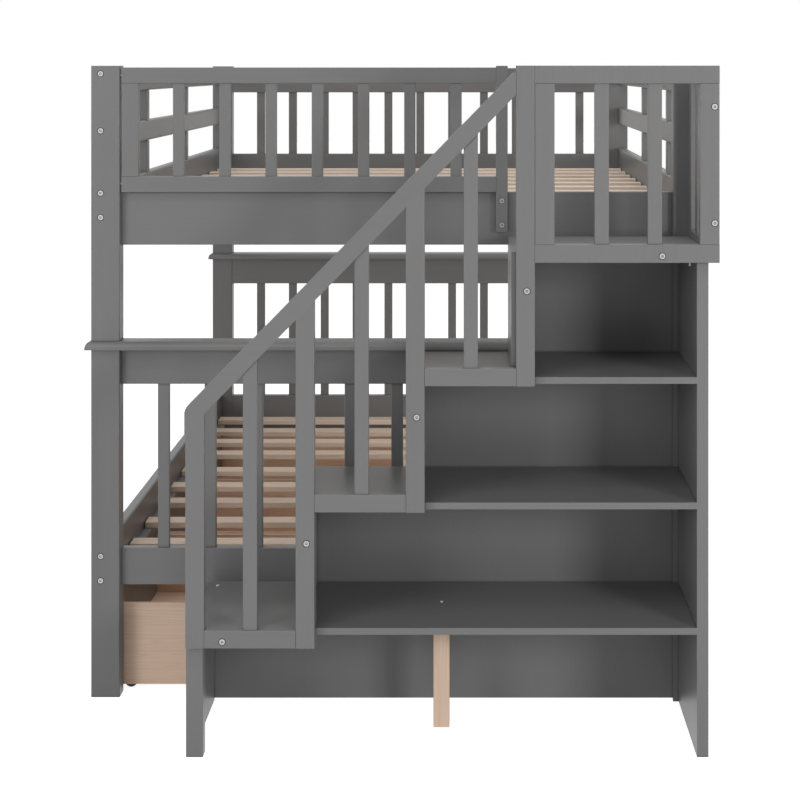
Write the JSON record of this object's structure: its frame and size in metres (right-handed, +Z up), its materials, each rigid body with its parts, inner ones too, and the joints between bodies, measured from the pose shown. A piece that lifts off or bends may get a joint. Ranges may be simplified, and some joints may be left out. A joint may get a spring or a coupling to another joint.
{
  "type": "bunk bed",
  "caption": "Wooden bunk bed with slatted head and foot boards, guard rails, a storage stair with handrail across the foot end, and rolling drawers underneath",
  "frame": {"origin": "Middle of the bounding box at floor level: midway between the outer edges of the cap boards, and midway between the stair guard's front with its bolt heads and the head end cap board", "axes": "+X to the right seen from the stair, +Y along the bed from the stair at the foot end to the head end, +Z up"},
  "size_m": [1.483, 2.4236, 1.505],
  "materials": {
    "grey_paint": "satin grey paint on wood",
    "bare_wood": "natural pale softwood, clear matt lacquer",
    "steel": "zinc plated steel",
    "wheel": "dark matt plastic"
  },
  "bodies": {
    "bed": {"lower_foot_posts": "grey_paint", "lower_head_posts": "grey_paint", "lower_caps": "grey_paint", "lower_top_rails": "grey_paint", "lower_board_slats": "grey_paint", "lower_end_rails": "grey_paint", "lower_side_rails": "grey_paint", "lower_bed_slats": "bare_wood", "upper_foot_posts": "grey_paint", "upper_head_posts": "grey_paint", "pins": "steel", "upper_foot_end_rail": "grey_paint", "upper_foot_guard_rails": "grey_paint", "upper_foot_guard_uprights": "grey_paint", "upper_foot_guard_end_stile": "grey_paint", "upper_head_top_rail": "grey_paint", "upper_head_slats": "grey_paint", "upper_head_end_rail": "grey_paint", "upper_side_rails": "grey_paint", "upper_side_guard_left": "grey_paint", "upper_side_guard_right": "grey_paint", "upper_bed_slats": "bare_wood", "slat_cleats": "grey_paint", "centre_beams": "bare_wood", "centre_leg": "bare_wood", "stair_side_panel": "grey_paint", "stair_back_panel": "grey_paint", "stair_step_sides": "grey_paint", "stair_battens": "grey_paint", "stair_centre_leg": "bare_wood", "tread_1": "grey_paint", "tread_2": "grey_paint", "tread_3": "grey_paint", "platform": "grey_paint", "stair_guard_posts": "grey_paint", "stair_guard_slats": "grey_paint", "stair_guard_rails": "grey_paint", "stair_handrail": "grey_paint", "platform_front_guard": "grey_paint", "platform_side_guard": "grey_paint", "bolts": "steel", "barrel_nuts": "steel"},
    "drawer_foot": {"drawer_foot_front": "grey_paint", "drawer_foot_box": "bare_wood", "drawer_foot_bottom": "bare_wood", "drawer_foot_casters": "steel"},
    "drawer_foot_wheels_front": {"drawer_foot_wheels_front": "wheel"},
    "drawer_foot_wheels_rear": {"drawer_foot_wheels_rear": "wheel"},
    "drawer_middle": {"drawer_middle_front": "grey_paint", "drawer_middle_box": "bare_wood", "drawer_middle_bottom": "bare_wood", "drawer_middle_casters": "steel"},
    "drawer_middle_wheels_front": {"drawer_middle_wheels_front": "wheel"},
    "drawer_middle_wheels_rear": {"drawer_middle_wheels_rear": "wheel"},
    "drawer_head": {"drawer_head_front": "grey_paint", "drawer_head_box": "bare_wood", "drawer_head_bottom": "bare_wood", "drawer_head_casters": "steel"},
    "drawer_head_wheels_front": {"drawer_head_wheels_front": "wheel"},
    "drawer_head_wheels_rear": {"drawer_head_wheels_rear": "wheel"}
  },
  "joints": [
    {"name": "drawer_foot_slide", "type": "slide", "parent": "bed", "child": "drawer_foot", "axis": [-1, 0, 0], "range_m": [0, 0.5]},
    {"name": "drawer_foot_wheels_front_roll", "type": "hinge", "parent": "drawer_foot", "child": "drawer_foot_wheels_front", "pos_m": [-0.646, -0.45525, 0.015], "axis": [0, 1, 0], "continuous": true},
    {"name": "drawer_foot_wheels_rear_roll", "type": "hinge", "parent": "drawer_foot", "child": "drawer_foot_wheels_rear", "pos_m": [-0.088, -0.45525, 0.015], "axis": [0, 1, 0], "continuous": true},
    {"name": "drawer_middle_slide", "type": "slide", "parent": "bed", "child": "drawer_middle", "axis": [-1, 0, 0], "range_m": [0, 0.5]},
    {"name": "drawer_middle_wheels_front_roll", "type": "hinge", "parent": "drawer_middle", "child": "drawer_middle_wheels_front", "pos_m": [-0.646, 0.18625, 0.015], "axis": [0, 1, 0], "continuous": true},
    {"name": "drawer_middle_wheels_rear_roll", "type": "hinge", "parent": "drawer_middle", "child": "drawer_middle_wheels_rear", "pos_m": [-0.088, 0.18625, 0.015], "axis": [0, 1, 0], "continuous": true},
    {"name": "drawer_head_slide", "type": "slide", "parent": "bed", "child": "drawer_head", "axis": [-1, 0, 0], "range_m": [0, 0.5]},
    {"name": "drawer_head_wheels_front_roll", "type": "hinge", "parent": "drawer_head", "child": "drawer_head_wheels_front", "pos_m": [-0.646, 0.82775, 0.015], "axis": [0, 1, 0], "continuous": true},
    {"name": "drawer_head_wheels_rear_roll", "type": "hinge", "parent": "drawer_head", "child": "drawer_head_wheels_rear", "pos_m": [-0.088, 0.82775, 0.015], "axis": [0, 1, 0], "continuous": true}
  ],
  "couplings": [
    {"joint": "drawer_foot_wheels_front_roll", "follows": "drawer_foot_slide", "rad_per_m": -66.667},
    {"joint": "drawer_foot_wheels_rear_roll", "follows": "drawer_foot_slide", "rad_per_m": -66.667},
    {"joint": "drawer_middle_wheels_front_roll", "follows": "drawer_middle_slide", "rad_per_m": -66.667},
    {"joint": "drawer_middle_wheels_rear_roll", "follows": "drawer_middle_slide", "rad_per_m": -66.667},
    {"joint": "drawer_head_wheels_front_roll", "follows": "drawer_head_slide", "rad_per_m": -66.667},
    {"joint": "drawer_head_wheels_rear_roll", "follows": "drawer_head_slide", "rad_per_m": -66.667}
  ]
}
